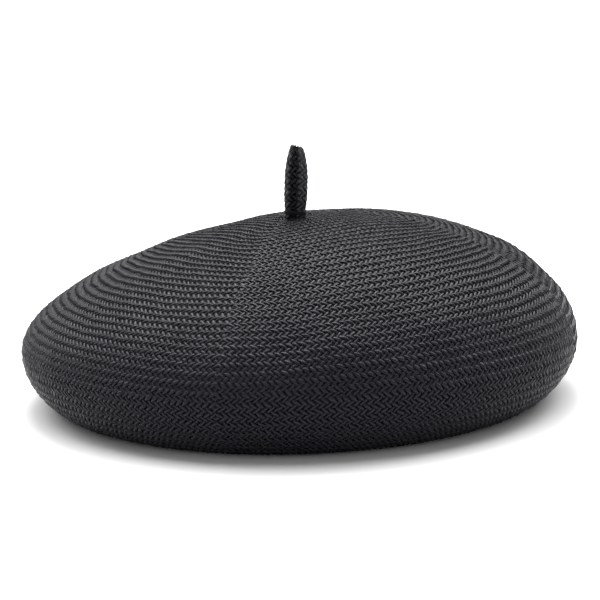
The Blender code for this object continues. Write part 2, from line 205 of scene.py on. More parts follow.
class BlockedForm:
    """The middle of the straw wall, by distance run from the tip over the rim to the collar's edge."""

    def __init__(self, shape):
        self.shape = shape
        self.mean = (shape.head_length + shape.head_width) / 4
        tip = shape.waist + shape.rise
        dome = interpolate_bezier(
            (0, tip), (shape.tip_handle, tip), (shape.radius, shape.waist + shape.crown_handle),
            (shape.radius, shape.waist), 200,
        )
        under = interpolate_bezier(
            (shape.radius, shape.waist), (shape.radius, shape.waist - shape.under_handle),
            (shape.land_outer + shape.land_handle, 0), (shape.land_outer, 0), 80,
        )
        outline = [tuple(p)[:2] for p in dome + under[1:]] + [(shape.land_inner, 0)]
        centre = self.mean + shape.fold_radius
        for step in range(9):
            bend = step / 8 * pi / 2
            outline.append((
                centre - shape.fold_radius * sin(bend), shape.fold_height + shape.fold_radius * (1 - cos(bend)),
            ))
        outline.append((self.mean, shape.collar_top))
        points = np.array(outline)
        run = np.concatenate([[0], np.cumsum(np.hypot(*np.diff(points, axis=0).T))])
        self.end = run[-1]
        self.run = np.linspace(0, self.end, 500)
        reach = np.interp(self.run, run, points[:, 0])
        height = np.interp(self.run, run, points[:, 1])
        step = self.run[1]
        along = np.stack([np.gradient(reach), np.gradient(height)])
        for _ in range(3):
            padded = np.pad(along, ((0, 0), (2, 2)), mode="edge")
            along = sum(padded[:, i:i + along.shape[1]] for i in range(5)) / 5
        along[:, 0] = (step, 0)
        along /= np.hypot(*along)
        self.out_reach, self.out_height = -along[1], along[0]
        self.reach = reach - self.out_reach * shape.thickness / 2
        self.height = height - self.out_height * shape.thickness / 2
        widest = int(np.argmax(reach))
        self.widest = self.run[widest]
        self.round = np.where(np.arange(500) < widest, reach, reach[widest])
        self.oval = np.clip((shape.land_inner - reach) / (shape.land_inner - centre), 0, 1)
        self.oval[:widest] = 0

    def at(self, run, azimuth, lift):
        """Points of the straw wall: a run from the tip, an azimuth and a height above the wall's middle."""
        def look(table):
            return np.interp(run, self.run, table)
        reach = look(self.reach) + lift * look(self.out_reach)
        height = look(self.height) + lift * look(self.out_height)
        reach = reach + look(self.oval) * (oval_radius(self.shape, azimuth) - self.mean)
        x, y = reach * np.cos(azimuth), reach * np.sin(azimuth)
        rise = np.maximum(height - self.shape.waist, 0)
        height = height + self.shape.fullness * rise * x / self.shape.radius
        return np.stack([x, y, height], axis=1)


# ---- the plait ------------------------------------------
def corner_share(plait, run):
    ease = np.clip((run - plait.corner_square) / (plait.corner_round - plait.corner_square), 0, 1)
    return 1 - (1 - plait.corner_left) * ease * ease * (3 - 2 * ease)


def to_lattice(plait, form, run, turn):
    """Flat place (across, out) of a point at a run from the plait's start, turned from its sector's middle line."""
    square = corner_share(plait, run)
    wide = np.interp(run, form.run, form.round)
    wide = np.where(run > form.end, form.round[-1], wide)
    wide = wide * (1 + plait.cell_tightness * np.maximum(1 - run / form.widest, 0))
    past = np.abs(turn) - pi / 4
    near = np.clip(past + plait.corner_bend, 0, plait.corner_bend)
    bend = np.minimum(past, 0) - near ** 2 / 2 / plait.corner_bend + pi / 4
    out = run * (1 - square * (1 - np.cos(bend)))
    return wide * (square * np.sin(turn) + (1 - square) * turn), out * (1 - plait.row_growth * out)


def from_lattice(plait, form, across, out):
    """The run and turn whose flat place this is, by Newton's method."""
    run, turn = np.hypot(across, out), np.clip(np.arctan2(across, out), -1.1, 1.1)
    small = 1e-6
    for _ in range(40):
        a0, o0 = to_lattice(plait, form, run, turn)
        a1, o1 = to_lattice(plait, form, run + small, turn)
        a2, o2 = to_lattice(plait, form, run, turn + small)
        ar, orr, at, ot = (a1 - a0) / small, (o1 - o0) / small, (a2 - a0) / small, (o2 - o0) / small
        det = ar * ot - at * orr
        det = np.where(np.abs(det) < 1e-9, 1e-9, det)
        da, do = across - a0, out - o0
        run = np.clip(run + np.clip((da * ot - at * do) / det, -0.01, 0.01), 1e-5, form.end + 0.01)
        turn = np.clip(turn + np.clip((ar * do - orr * da) / det, -0.15, 0.15), -1.2, 1.2)
    return run, turn


def lattice_point(plait, index, crossing):
    """Flat place on strand number index, at a crossing count along it."""
    return plait.cell * (index - crossing) / 2, plait.row * (index + crossing)


def sector_runs(plait, form):
    """For each strand of a sector: its number, and its first and last crossing count inside the sector."""
    last = int(form.end / plait.row / 2 + form.round.max() / plait.cell) + 4
    index, crossing = np.meshgrid(np.arange(0, last), np.arange(0, last, 0.5), indexing="ij")
    across, out = lattice_point(plait, index, crossing)
    run, turn = from_lattice(plait, form, across.ravel(), out.ravel())
    beyond = np.maximum((np.abs(turn) - pi / 4) * 0.1, run - form.end).reshape(index.shape)
    at_corner = (np.abs(turn) > 0.9 * pi / 4).reshape(index.shape)
    runs = []
    for number in range(last):
        gap = beyond[number]
        inside = np.flatnonzero(gap < 0)
        if len(inside) < 3:
            continue
        a, b = inside[0], inside[-1]
        first, final = crossing[number, a], crossing[number, b]
        if a > 0:
            first -= 0.5 * gap[a] / (gap[a] - gap[a - 1])
        if b + 1 < len(gap):
            final += 0.5 * gap[b] / (gap[b] - gap[b + 1])
        runs.append((number, first - (TUCKED if a > 0 else 0), final + (TUCKED if at_corner[number, b] else 0)))
    return runs


def unit_tube(sides, rings, caps):
    """A tube of unit radius with its rings one unit apart."""
    bm = bmesh.new()
    bmesh.ops.create_cone(
        bm, cap_ends=caps, segments=sides, radius1=1, radius2=1, depth=rings,
        matrix=Matrix.Translation((0, 0, rings / 2)),
    )
    if rings > 1:
        long = [e for e in bm.edges if abs(e.verts[0].co.z - e.verts[1].co.z) > 0.5]
        bmesh.ops.subdivide_edges(bm, edges=long, cuts=rings - 1)
    return bm


class StrandTemplates:
    """Closed tubes one unit long per ring, made once for each count of rings."""

    def __init__(self, sides):
        self.sides = sides
        self.made = {}

    def get(self, rings):
        if rings not in self.made:
            bm = unit_tube(self.sides, rings, True)
            for face in bm.faces:
                face.smooth = len(face.verts) == 4 and abs(face.normal.z) < 0.5
            data = bpy.data.meshes.new("strand")
            bm.to_mesh(data)
            bm.free()
            co = np.empty(len(data.vertices) * 3)
            data.vertices.foreach_get("co", co)
            self.made[rings] = (data, co.reshape(-1, 3))
        return self.made[rings]

    def clear(self):
        for data, _ in self.made.values():
            bpy.data.meshes.remove(data)


def strand_mat(plait, runs, templates):
    """One flat family of strands: its mesh, and each vertex's (strand, crossing, across, up, along)."""
    bm = bmesh.new()
    rows = []
    for number, first, final in runs:
        inner = np.arange(np.ceil(first * 2 + 0.3), np.floor(final * 2 - 0.3) + 0.5) / 2
        rings = np.concatenate([[first], inner, [final]])
        data, co = templates.get(len(rings) - 1)
        bm.from_mesh(data)
        place = rings[np.rint(co[:, 2]).astype(int)]
        rows.append(np.stack([np.full(len(co), number), place, co[:, 0], co[:, 1], place - first], axis=1))
    mesh = bpy.data.meshes.new("plait")
    bm.to_mesh(mesh)
    bm.free()
    return mesh, np.concatenate(rows)


def crossing_lift(phase):
    """-1 to 1: high over two strands, low under the next two."""
    wave = np.cos(phase * pi / 2)
    return np.sign(wave) * np.abs(wave) ** 0.6


def from_start(plait, x, y):
    """Plan place of a point given from the plait's start, which lies behind the tip."""
    px, py = x, y
    for _ in range(40):
        fade = 0.5 + 0.5 * np.cos(pi * np.minimum(np.hypot(px, py) / plait.settled, 1))
        px, py = x + plait.start_x * fade, y + plait.start_y * fade
    return px, py


def float_chance(number, phase, seed):
    """-0.5 to 0.5, one value for each float of each strand."""
    table = np.random.default_rng(seed).random(2003) - 0.5
    return table[(number.astype(int) * 37 + np.floor((phase + 1) / 4).astype(int) * 101) % 2003]


def ripple(x, y, seed, coarse=300, fine=1100):
    """A gentle unevenness over the hat, about -1 to 1."""
    waves = np.random.default_rng(seed)
    total = 0
    for _ in range(7):
        size, way, start = waves.uniform(coarse, fine), waves.uniform(0, pi), waves.uniform(0, 2 * pi)
        total = total + np.sin(size * (x * np.cos(way) + y * np.sin(way)) + start)
    return total / 3


def plait_piece(name, mesh, rows, places, finish, seed):
    """Sets a flat mat's vertices to their places and records across, along and a random tone for the finish."""
    data = mesh.copy()
    data.name = name
    data.vertices.foreach_set("co", places.astype(np.float32).ravel())
    tone = np.random.default_rng(seed).random(400)
    strand = np.stack([rows[:, 2], rows[:, 4], tone[rows[:, 0].astype(int) % 400]], axis=1)
    attribute = data.attributes.new("strand", "FLOAT_VECTOR", "POINT")
    attribute.data.foreach_set("vector", strand.astype(np.float32).ravel())
    data.materials.append(finish)
    data.update()
    piece = bpy.data.objects.new(name, data)
    bpy.context.scene.collection.objects.link(piece)
    return piece


# ---- swept pieces ---------------------------------------
def swept(name, rings, sides, place, finish, closed=False):
    """A tube whose point at (ring, side), counted from 0, is moved to place(ring, side); closed joins its ends."""
    bm = unit_tube(sides, rings, not closed)
    co = np.array([v.co for v in bm.verts])
    ring = np.rint(co[:, 2])
    side = np.rint(np.arctan2(co[:, 0], co[:, 1]) / (2 * pi / sides)) % sides
    places = place(ring, side)
    for vertex, at in zip(bm.verts, places):
        vertex.co = at
    if closed:
        bmesh.ops.remove_doubles(bm, verts=bm.verts, dist=0.000002)
    bmesh.ops.recalc_face_normals(bm, faces=bm.faces)
    data = bpy.data.meshes.new(name)
    bm.to_mesh(data)
    bm.free()
    data.shade_smooth()
    data.set_sharp_from_angle(angle=radians(50))
    data.materials.append(finish)
    piece = bpy.data.objects.new(name, data)
    bpy.context.scene.collection.objects.link(piece)
    return piece


def thread_along(name, path, radius, finish, closed=False, sides=6, plies=0):
    """A round thread through the points of a path, two plies twisted together when plies is their turns per ring."""
    path = np.asarray(path)
    if closed:
        path = np.concatenate([path, path[:1]])
    along = np.gradient(path, axis=0)
    if closed:
        along[0] = along[-1] = path[1] - path[-2]
    along /= np.linalg.norm(along, axis=1)[:, None]
    guide = np.where(np.abs(along[:, 2:3]) > 0.9, (1.0, 0, 0), (0, 0, 1.0))
    over = np.cross(along, guide)
    over /= np.linalg.norm(over, axis=1)[:, None]
    upright = np.cross(over, along)

    def place(ring, side):
        at = ring.astype(int)
        turn = side / sides * 2 * pi
        swell = 1 + (0.16 * np.cos(2 * turn - plies * 2 * pi * ring) if plies else 0)
        reach = radius * swell
        return path[at] + (over[at].T * reach * np.cos(turn) + upright[at].T * reach * np.sin(turn)).T

    return swept(name, len(path) - 1, sides, place, finish, closed)


def loop_way(first, second):
    """Unit direction along a closed loop that two coordinates give."""
    way = np.stack([np.roll(first, -1) - np.roll(first, 1), np.roll(second, -1) - np.roll(second, 1)])
    return way / np.hypot(*way)


def band_section(height, thickness, faces, edge):
    """(up, out) points round a flat band with softened edges, out from -half to half its thickness."""
    half = thickness / 2
    ups = np.linspace(-height / 2 + edge, height / 2 - edge, faces + 1)
    points = [(u, half) for u in ups] + [(height / 2, half * 0.45), (height / 2, -half * 0.45)]
    points += [(u, -half) for u in ups[::-1]] + [(-height / 2, -half * 0.45), (-height / 2, half * 0.45)]
    return np.array(points)


# ---- places round the head opening ----------------------
def on_oval(shape, azimuth, offset, height):
    reach = oval_radius(shape, azimuth) + offset
    return np.stack(np.broadcast_arrays(reach * np.cos(azimuth), reach * np.sin(azimuth), height), axis=-1)


def near_angle(shape, middle, run, offset, height):
    return on_oval(shape, middle + run / (oval_radius(shape, middle) + offset), offset, height)


def stitched_ring(shape, azimuths, offset, height, stitch, rise, dip):
    """A path round the oval that stands proud by rise at each stitch and sinks by dip between two stitches."""
    reach = (shape.head_length + shape.head_width) / 4
    count = round(2 * pi * reach / stitch)
    wave = np.cos(azimuths * count)
    lift = np.where(wave > -0.4, rise * np.minimum(1, (wave + 0.4) / 0.5), dip * (wave + 0.4) / 0.6)
    return on_oval(shape, azimuths, offset - lift, height)


# ---- finishes -------------------------------------------
def new_finish(name, tint, roughness, metallic=0.0, specular=0.5):
    finish = bpy.data.materials.new(name)
    finish.use_nodes = True
    shader = finish.node_tree.nodes["Principled BSDF"]
    shader.inputs["Base Color"].default_value = (*tint, 1)
    shader.inputs["Roughness"].default_value = roughness
    shader.inputs["Metallic"].default_value = metallic
    shader.inputs["Specular IOR Level"].default_value = specular
    return finish, finish.node_tree.nodes, finish.node_tree.links, shader


def spread_pattern(nodes, links, source, kind, scale, stretch):
    """A noise or wave pattern over a coordinate, stretched along its axes."""
    spread = nodes.new("ShaderNodeMapping")
    spread.inputs["Scale"].default_value = stretch
    links.new(source, spread.inputs["Vector"])
    pattern = nodes.new(kind)
    pattern.inputs["Scale"].default_value = scale
    links.new(spread.outputs["Vector"], pattern.inputs["Vector"])
    return pattern


def colour_and_bump(nodes, links, shader, pattern, dark, pale, strength, distance):
    """Drives colour and bump from a pattern; dark and pale are each a place on the ramp and a tint."""
    tone = nodes.new("ShaderNodeValToRGB")
    for index, (place, tint) in enumerate((dark, pale)):
        tone.color_ramp.elements[index].position = place
        tone.color_ramp.elements[index].color = (*tint, 1)
    links.new(pattern.outputs["Fac"], tone.inputs["Fac"])
    links.new(tone.outputs["Color"], shader.inputs["Base Color"])
    bump = nodes.new("ShaderNodeBump")
    bump.inputs["Strength"].default_value = strength
    bump.inputs["Distance"].default_value = distance
    links.new(pattern.outputs["Fac"], bump.inputs["Height"])
    links.new(bump.outputs["Normal"], shader.inputs["Normal"])


def straw_finish(name, tint, specular):
    """Dyed straw: fibres that run along each strand, and a tone of its own for each strand."""
    finish, nodes, links, shader = new_finish(name, tint, 0.36, specular=specular)
    strand = nodes.new("ShaderNodeAttribute")
    strand.attribute_name = "strand"
    fibre = spread_pattern(nodes, links, strand.outputs["Vector"], "ShaderNodeTexNoise", 1.6, (2.2, 0.35, 40))
    fibre.inputs["Detail"].default_value = 3
    dark, pale = [c * 0.35 for c in tint], [c * 2.4 for c in tint]
    colour_and_bump(nodes, links, shader, fibre, (0.3, dark), (0.75, pale), 0.35, 0.0002)
    return finish


def patterned(finish, nodes, links, shader, scale, tint, light, strength, distance, stretch=(1, 1, 1)):
    """Gives a finish a fine noise in the piece's own coordinates."""
    place = nodes.new("ShaderNodeTexCoord")
    noise = spread_pattern(nodes, links, place.outputs["Object"], "ShaderNodeTexNoise", scale, stretch)
    dark, pale = [c * (1 - light) for c in tint], [min(1, c * (1 + light)) for c in tint]
    colour_and_bump(nodes, links, shader, noise, (0.3, dark), (0.7, pale), strength, distance)
    return finish


def thread_finish(tint):
    """Polyester thread: a soft sheen over fine fibres."""
    made = new_finish("sewing_thread", tint, 0.5, specular=0.2)
    return patterned(*made, 5200, tint, 0.5, 0.4, 0.0001)


def tape_finish(tint):
    """Cotton bias tape: a matt, fine plain weave cut on the slant."""
    made = new_finish("cotton_tape", tint, 0.9, specular=0.25)
    made[3].inputs["Sheen Weight"].default_value = 0.15
    return patterned(*made, 2600, tint, 0.4, 0.5, 0.0002, (1, 1, 0.5))


def ribbon_finish(tint):
    """Grosgrain: dull silk-like threads running round the ribs."""
    made = new_finish("grosgrain_ribbon", tint, 0.62, specular=0.4)
    made[3].inputs["Sheen Weight"].default_value = 0.1
    return patterned(*made, 1500, tint, 0.45, 0.4, 0.0001, (0.4, 0.4, 3))


def label_finish(tint):
    """Satin label tape: smooth floats across its width."""
    made = new_finish("label_satin", tint, 0.45)
    return patterned(*made, 1800, tint, 0.08, 0.3, 0.0001, (0.3, 0.3, 3))


def wire_finish(tint):
    """Millinery wire: rayon thread wound over steel."""
    made = new_finish("covered_wire", tint, 0.55)
    return patterned(*made, 3000, tint, 0.4, 0.5, 0.0001)


def joiner_finish(tint):
    """Brass tube crimped on the wire."""
    made = new_finish("brass_joiner", tint, 0.32, metallic=1.0)
    return patterned(*made, 900, tint, 0.12, 0.15, 0.0001)


# ---- pieces ---------------------------------------------
class BERET_OT_plait(bpy.types.Operator):
    """Plaits the straw over the blocked form"""

    bl_idname = "beret.plait"
    bl_label = "Plait the shell"

    def execute(self, context):
        shape, plait = context.scene.beret_shape, context.scene.beret_plait
        form = BlockedForm(shape)
        finish = straw_finish("dyed_straw", context.scene.beret_colours.straw, 0.17)
        thread_finish(context.scene.beret_colours.thread)
        runs = sector_runs(plait, form)
        templates = StrandTemplates(plait.sides)
        mesh, rows = strand_mat(plait, runs, templates)
        templates.clear()
        number, crossing, side, up = rows[:, 0], rows[:, 1], rows[:, 2], rows[:, 3]
        across, out = lattice_point(plait, number, crossing)
        step = np.hypot(plait.cell / 2, plait.row)
        half = plait.cell * plait.row / step / 2 * plait.cover
        whole_strand = number * 0
        half = half * (1 + plait.uneven_width * float_chance(number, whole_strand, 9))
        side = np.sign(side) * np.abs(side) ** (1 - plait.flatness)
        across = across + side * half * plait.row / step
        out = out + side * half * plait.cell / 2 / step
        run, turn = from_lattice(plait, form, across, out)
        tuck = np.clip(np.maximum(np.abs(turn) - pi / 4, 0) * run / step, 0, 1)
        row = np.cos((number + crossing - 0.5) * pi / 2)
        for sector in range(4):
            shift = 2 * (sector % 2)
            for family in (0, 1):
                phase = number + crossing + shift - 0.5 + 2 * family
                proud = 1 + plait.unevenness * float_chance(number, phase, sector * 2 + family)
                wave = crossing_lift(phase)
                lift = plait.lift * np.where(wave > 0, wave * proud, wave)
                lift = lift * (1 - tuck) - plait.lift * tuck
                lift = lift + plait.row_relief * row + up * plait.strand_thickness / 2
                middle = plait.turn + pi / 4 + sector * pi / 2
                azimuth = middle + (turn if family == 0 else -turn)
                px, py = from_start(plait, run * np.cos(azimuth), run * np.sin(azimuth))
                stray = plait.wander * np.minimum(np.hypot(px, py) / 0.01, 1)
                px, py = px + stray * ripple(px, py, 1), py + stray * ripple(px, py, 2)
                reach = np.hypot(px, py)
                ease = 0.03
                crown = np.clip(reach / ease, 0, 1) ** 2 * np.clip((form.widest - reach) / ease, 0, 1)
                uneven = plait.hollows * crown * ripple(px, py, 5, 70, 190)
                places = form.at(reach, np.arctan2(py, px), lift + uneven)
                piece = plait_piece(
                    f"shell_plait_{sector + 1}_{'ab'[family]}", mesh, rows, places, finish, sector * 2 + family,
                )
                if family == 1:
                    piece.data.flip_normals()
                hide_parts("straw_shell")
                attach(piece, "hat")
        bpy.data.meshes.remove(mesh)
        self.close_start(plait, form, finish)
        return {"FINISHED"}

    def close_start(self, plait, form, finish):
        """Crosses two pairs of strands under the plait's start."""
        along = np.linspace(-0.0026, 0.0026, 14)
        for number in range(4):
            way = plait.turn + (number % 2) * pi / 2
            beside = 0.0006 if number > 1 else -0.0006
            x = along * np.cos(way) - beside * np.sin(way)
            y = along * np.sin(way) + beside * np.cos(way)
            px, py = from_start(plait, x, y)
            sunk = np.full(len(along), -0.0003 - 0.0002 * (number % 2))
            path = form.at(np.hypot(px, py), np.arctan2(py, px), sunk)
            start = thread_along(f"shell_start_{number + 1}", path, 0.00058, finish)
            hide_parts("straw_shell")
            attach(start, "hat")


def root_point(trims, x, y, z):
    """A point given from the stalk's root, leant with the stalk."""
    lean = trims.stalk_lean
    return np.stack([
        x * np.cos(lean) + z * np.sin(lean), y, trims.stalk_root - x * np.sin(lean) + z * np.cos(lean),
    ], axis=-1)


def stalk_scale(up):
    """Width and depth of the rolled strip as shares of its widest part."""
    low = np.sin(np.clip(up / 0.3, 0, 1) * pi / 2)
    taper = np.clip((up - 0.5) / 0.5, 0, 1)
    width = (0.86 + 0.14 * low) * (1 - 0.5 * taper ** 2)
    depth = (0.70 + 0.30 * low) * (1 - 0.5 * taper ** 2)
    closed = np.sqrt(1 - 0.4 * np.clip((up - 0.94) / 0.06, 0, 1) ** 2)
    return width * closed, depth * closed


class BERET_OT_stalk(bpy.types.Operator):
    """Rolls a plaited strip into the stalk"""

    bl_idname = "beret.stalk"
    bl_label = "Roll the stalk"

    def execute(self, context):
        shape, trims, plait = context.scene.beret_shape, context.scene.beret_trims, context.scene.beret_plait
        # a lighter copy of the shell's straw: its extra lightness is painted light on the stalk
        finish = straw_finish("stalk_straw_painted_light", context.scene.beret_colours.stalk, 0.40)
        skin = 0.0004
        wide, deep = trims.stalk_half_width, trims.stalk_half_depth - skin
        around, roll, near_lip = 0.0254, radians(328), radians(175)
        bottom = shape.waist + shape.rise - skin - trims.stalk_root
        top = trims.stalk_height - skin
        runs = []
        for number in range(-20, 40):
            crossing = np.arange(-30, 40, 0.5)
            across = trims.stalk_cell * (number - crossing) / 2
            up = trims.stalk_row * (number + crossing)
            inside = np.flatnonzero((np.abs(across) <= around / 2) & (up >= bottom) & (up <= top))
            if len(inside) > 2:
                runs.append((number, crossing[inside[0]] - 0.05, crossing[inside[-1]] + 0.05))
        templates = StrandTemplates(plait.sides)
        mesh, rows = strand_mat(plait, runs, templates)
        templates.clear()
        number, crossing, side, lift_side = rows[:, 0], rows[:, 1], rows[:, 2], rows[:, 3]
        step = np.hypot(trims.stalk_cell / 2, trims.stalk_row)
        half = trims.stalk_cell * trims.stalk_row / step / 2 * plait.cover
        for family in (0, 1):
            across = trims.stalk_cell * (number - crossing) / 2 + side * half * trims.stalk_row / step
            up = trims.stalk_row * (number + crossing) + side * half * trims.stalk_cell / 2 / step
            if family:
                across = -across
            phase = number + crossing - 0.5 + 2 * family
            lift = 0.00022 * crossing_lift(phase) + lift_side * 0.00020
            share_up = up / trims.stalk_height
            width, depth = stalk_scale(share_up)
            turn = near_lip - roll * (0.5 + across / around)
            lip = np.clip(np.abs(across / around) / 0.08 - 5.25, 0, 1) ** 2
            out_x, out_y = np.sin(turn) * deep, np.cos(turn) * wide
            size = np.hypot(out_x, out_y)
            x = wide * width * np.sin(turn) + lift * out_x / size
            y = deep * depth * np.cos(turn) * (1 - 0.55 * lip) + lift * out_y / size
            slant = 0.0014 * (0.5 - x / trims.stalk_half_width) * np.clip(share_up, 0, 1) ** 3
            places = root_point(trims, x, y, up * (top - 0.0024) / top + slant)
            piece = plait_piece(f"stalk_plait_{'ab'[family]}", mesh, rows, places, finish, 20 + family)
            if family:
                piece.data.flip_normals()
            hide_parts("stalk")
            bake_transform(piece)
        bpy.data.meshes.remove(mesh)
        return {"FINISHED"}


class BERET_OT_stalk_stitches(bpy.types.Operator):
    """Winds the thread round the stalk's root, sews it at both sides and knots it under the tip"""

    bl_idname = "beret.stalk_stitches"
    bl_label = "Sew the stalk"

    def execute(self, context):
        shape, trims = context.scene.beret_shape, context.scene.beret_trims
        finish = bpy.data.materials["sewing_thread"]
        width, depth = stalk_scale(0.0)
        wind = np.linspace(0, 2 * pi * 3, 150)
        reach_x = trims.stalk_half_width * width + 0.0006
        reach_y = trims.stalk_half_depth * depth + 0.0005
        rise = -0.0008 + 0.0005 * wind / (2 * pi)
        path = root_point(trims, reach_x * np.cos(wind), reach_y * np.sin(wind), rise)
        wrap = thread_along("root_winding", path, 0.00034, finish, plies=0.23)
        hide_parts("stalk_wrap_thread")
        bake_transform(wrap)

        for name, way in (("stalk_tack_left", -1), ("stalk_tack_right", 1)):
            low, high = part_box(name)
            middle, base = (low[0] + high[0]) / 2, low[2] + 0.0003
            wide = (high[0] - low[0]) / 2 - 0.0003
            arch = np.linspace(-0.15 * pi, 1.15 * pi, 28)
            path = np.stack([
                middle + wide * np.cos(arch), 0.0006 * way * np.cos(arch * 0.5), base + wide * np.sin(arch),
            ], axis=1)
            tack = thread_along(name + "_stitch", path, 0.00028, finish, plies=0.2)
            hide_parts(name)
            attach(tack, "hat")

        low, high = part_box("tack_knot")
        middle = (Vector(low) + Vector(high)) / 2
        wind = np.linspace(0, 1, 240)
        turn, tilt = wind * 2 * pi * 7, (wind - 0.5) * pi * 0.96
        path = np.stack([
            middle.x + 0.0016 * np.cos(tilt) * np.cos(turn), middle.y + 0.0016 * np.cos(tilt) * np.sin(turn),
            middle.z + 0.0009 * np.sin(tilt) + 0.00025 * np.sin(3.2 * turn),
        ], axis=1)
        knot = thread_along("tack_knot_coils", path, 0.00032, finish, plies=0.15)
        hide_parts("tack_knot")
        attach(knot, "hat")
        return {"FINISHED"}


class BERET_OT_edge(bpy.types.Operator):
    """Folds the bias tape over the wired edge and stitches it"""

    bl_idname = "beret.edge"
    bl_label = "Bind the edge"

    def execute(self, context):
        shape, trims, colours = context.scene.beret_shape, context.scene.beret_trims, context.scene.beret_colours
        tape = tape_finish(colours.tape)
        wall, top, out = trims.tape, trims.binding_top, trims.binding_out
        inner = -0.0003 - wall / 2
        outer = out + wall / 2
        bend = np.linspace(pi, 0, 9)
        middle, half = (inner + outer) / 2, (outer - inner) / 2
        path = [(inner, top - 0.0062 + wall), (inner, top - 0.003), (inner, top - 0.0011)]
        path += [(middle + half * np.cos(b), top - 0.0011 + 0.0013 * np.sin(b)) for b in bend[1:-1]]
        path += [(outer, top - 0.0011), (outer, top - 0.003), (outer, top - 0.0052 + wall)]
        path = np.array(path)
        along = np.gradient(path, axis=0)
        along /= np.hypot(*along.T)[:, None]
        out_way = np.stack([-along[:, 1], along[:, 0]], axis=1)
        section = np.concatenate([path + out_way * wall / 2, (path - out_way * wall / 2)[::-1]])
        rings = 480

        def place(ring, side):
            azimuth = ring / rings * 2 * pi
            at = section[side.astype(int)]
            pucker = 0.00008 * np.cos(azimuth * round(2 * pi * 0.09 / trims.stitch)) * (at[:, 1] < top - 0.003)
            return on_oval(shape, azimuth, at[:, 0] - pucker, at[:, 1])

        binding = swept("bias_binding", rings, len(section), place, tape, closed=True)
        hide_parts("edge_binding")
        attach(binding, "hat")

        thread = bpy.data.materials["sewing_thread"]
        azimuths = np.linspace(0, 2 * pi, 1600, endpoint=False)
        low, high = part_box("binding_thread")
        path = stitched_ring(
            shape, azimuths, out + wall, (low[2] + high[2]) / 2, trims.stitch, -0.00022, 0.0005,
        )
        seam = thread_along("binding_stitches", path, trims.thread, thread, closed=True, sides=5)
        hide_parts("binding_thread")
        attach(seam, "hat")

        for name, finish, slot in (
            ("head_wire", wire_finish(colours.wire), "wire"),
            ("wire_joiner", joiner_finish(colours.joiner), "joiner"),
        ):
            node = frame["nodes"][name]
            node.data.materials.clear()
            node.data.materials.append(finish)
        return {"FINISHED"}


def overlap_shift(trims, run):
    ease = np.clip(run / trims.ribbon_step, 0, 1)
    return (trims.ribbon_thickness + 0.0003) * (0.5 - 0.5 * np.cos(pi * ease))


class BERET_OT_ribbon(bpy.types.Operator):
    """Lays the grosgrain sweatband round the opening and sews it"""

    bl_idname = "beret.ribbon"
    bl_label = "Sew in the ribbon"

    def execute(self, context):
        shape, trims, colours = context.scene.beret_shape, context.scene.beret_trims, context.scene.beret_colours
        ribbon_cloth = ribbon_finish(colours.ribbon)
        back = pi / 2
        reach = shape.head_length / 2
        half = trims.ribbon_overlap / 2 / reach
        first, last = back - half, back + 2 * pi + half
        step_at = back + 2 * pi - half - trims.ribbon_step / reach
        section = band_section(trims.ribbon_height, trims.ribbon_thickness * 0.8, 6, 0.0006)
        ribs = round((last - first) * (shape.head_length + shape.head_width) / 4 / trims.rib)
        rings = ribs * 4

        def place(ring, side):
            azimuth = first + (last - first) * ring / rings
            at = section[side.astype(int)]
            rib = np.cos(ring / 4 * 2 * pi)
            swell = 1 + 0.25 * rib
            up = at[:, 0] * (1 + 0.006 * rib)
            offset = trims.ribbon_face - trims.ribbon_thickness / 2 + at[:, 1] * swell
            offset = offset - overlap_shift(trims, (azimuth - step_at) * reach)
            return on_oval(shape, azimuth, offset, trims.ribbon_start + trims.ribbon_height / 2 + up)

        ribbon = swept("grosgrain_sweatband", rings, len(section), place, ribbon_cloth)
        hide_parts("head_ribbon")
        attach(ribbon, "hat")

        thread = bpy.data.materials["sewing_thread"]
        azimuths = np.linspace(back - pi, back + pi, 1600, endpoint=False)
        low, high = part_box("ribbon_thread")
        run = np.abs(azimuths - back) * reach - trims.ribbon_overlap / 2
        face = trims.ribbon_face - trims.ribbon_thickness - overlap_shift(trims, trims.ribbon_step - run)
        path = stitched_ring(shape, azimuths, face, (low[2] + high[2]) / 2, trims.stitch, 0.00022, 0.0005)
        seam = thread_along("ribbon_stitches", path, trims.thread, thread, closed=True, sides=5)
        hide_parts("ribbon_thread")
        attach(seam, "hat")
        return {"FINISHED"}


